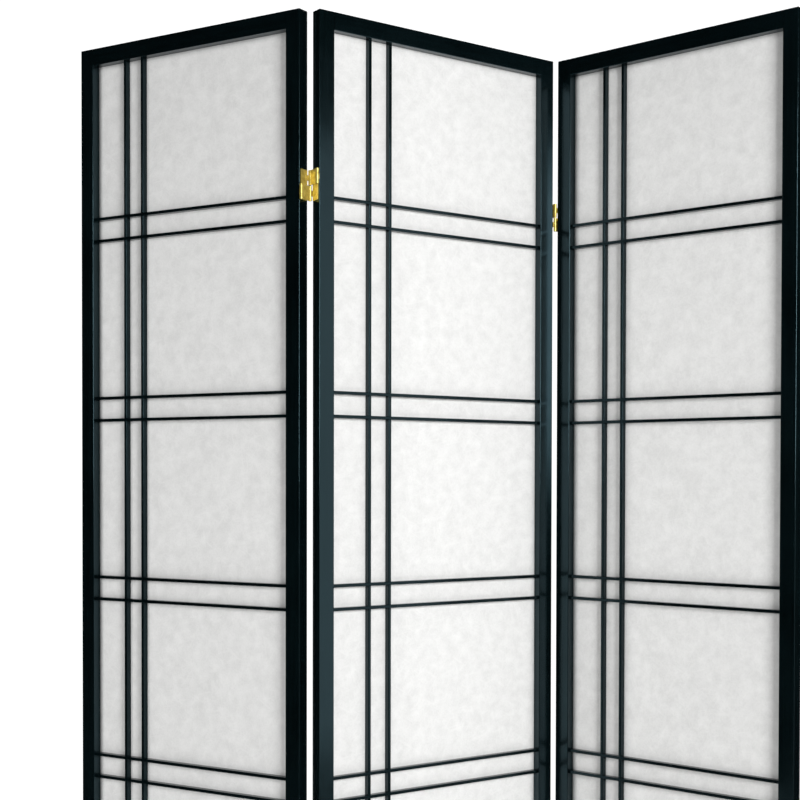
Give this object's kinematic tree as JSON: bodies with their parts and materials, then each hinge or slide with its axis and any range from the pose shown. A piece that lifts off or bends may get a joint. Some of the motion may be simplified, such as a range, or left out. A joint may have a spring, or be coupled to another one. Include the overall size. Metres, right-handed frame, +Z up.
{
  "type": "folding room divider screen",
  "caption": "Free-standing folding screen: black lacquered panels with a double-cross lattice over white paper, joined by two-way brass hinges so they close like a concertina.",
  "frame": {"origin": "on the floor, under the middle of the half-open screen's box in plan", "axes": "+Z up; the screen spreads along X and its front faces towards -Y, so +Y runs from the front to the back"},
  "size_m": [1.0935, 0.3012, 1.784],
  "materials": {
    "black_lacquered_wood": "satin black lacquer with a faint green-blue cast",
    "paper": "matt white fibre paper, fine long fibres, lets a little light through",
    "brass": "polished and lacquered brass"
  },
  "bodies": {
    "middle_panel": {"left_seam_lower_hinge_right_leaf": "brass", "left_seam_lower_hinge_top_link": "brass", "left_seam_lower_hinge_top_link_back_pin": "brass", "left_seam_lower_hinge_top_link_front_pin": "brass", "left_seam_upper_hinge_right_leaf": "brass", "left_seam_upper_hinge_top_link": "brass", "left_seam_upper_hinge_top_link_back_pin": "brass", "left_seam_upper_hinge_top_link_front_pin": "brass", "middle_panel_bottom_rail": "black_lacquered_wood", "middle_panel_lattice": "black_lacquered_wood", "middle_panel_left_stile": "black_lacquered_wood", "middle_panel_paper": "paper", "middle_panel_right_stile": "black_lacquered_wood", "middle_panel_top_rail": "black_lacquered_wood", "right_seam_lower_hinge_left_leaf": "brass", "right_seam_lower_hinge_top_link": "brass", "right_seam_lower_hinge_top_link_back_pin": "brass", "right_seam_lower_hinge_top_link_front_pin": "brass", "right_seam_upper_hinge_left_leaf": "brass", "right_seam_upper_hinge_top_link": "brass", "right_seam_upper_hinge_top_link_back_pin": "brass", "right_seam_upper_hinge_top_link_front_pin": "brass"},
    "left_panel": {"left_panel_bottom_rail": "black_lacquered_wood", "left_panel_lattice": "black_lacquered_wood", "left_panel_left_stile": "black_lacquered_wood", "left_panel_paper": "paper", "left_panel_right_stile": "black_lacquered_wood", "left_panel_top_rail": "black_lacquered_wood", "left_seam_lower_hinge_bottom_link": "brass", "left_seam_lower_hinge_bottom_link_back_pin": "brass", "left_seam_lower_hinge_bottom_link_front_pin": "brass", "left_seam_lower_hinge_left_leaf": "brass", "left_seam_upper_hinge_bottom_link": "brass", "left_seam_upper_hinge_bottom_link_back_pin": "brass", "left_seam_upper_hinge_bottom_link_front_pin": "brass", "left_seam_upper_hinge_left_leaf": "brass"},
    "right_panel": {"right_panel_bottom_rail": "black_lacquered_wood", "right_panel_lattice": "black_lacquered_wood", "right_panel_left_stile": "black_lacquered_wood", "right_panel_paper": "paper", "right_panel_right_stile": "black_lacquered_wood", "right_panel_top_rail": "black_lacquered_wood", "right_seam_lower_hinge_bottom_link": "brass", "right_seam_lower_hinge_bottom_link_back_pin": "brass", "right_seam_lower_hinge_bottom_link_front_pin": "brass", "right_seam_lower_hinge_right_leaf": "brass", "right_seam_upper_hinge_bottom_link": "brass", "right_seam_upper_hinge_bottom_link_back_pin": "brass", "right_seam_upper_hinge_bottom_link_front_pin": "brass", "right_seam_upper_hinge_right_leaf": "brass"}
  },
  "joints": [
    {"name": "left_fold", "type": "hinge", "parent": "middle_panel", "child": "left_panel", "pos_m": [-0.16139, -0.11601, 0.892], "axis": [0, 0, -1], "range_deg": [-67.4, 112.6]},
    {"name": "right_fold", "type": "hinge", "parent": "middle_panel", "child": "right_panel", "pos_m": [0.20272, 0.13186, 0.892], "axis": [0, 0, -1], "range_deg": [-77.4, 102.6]}
  ]
}
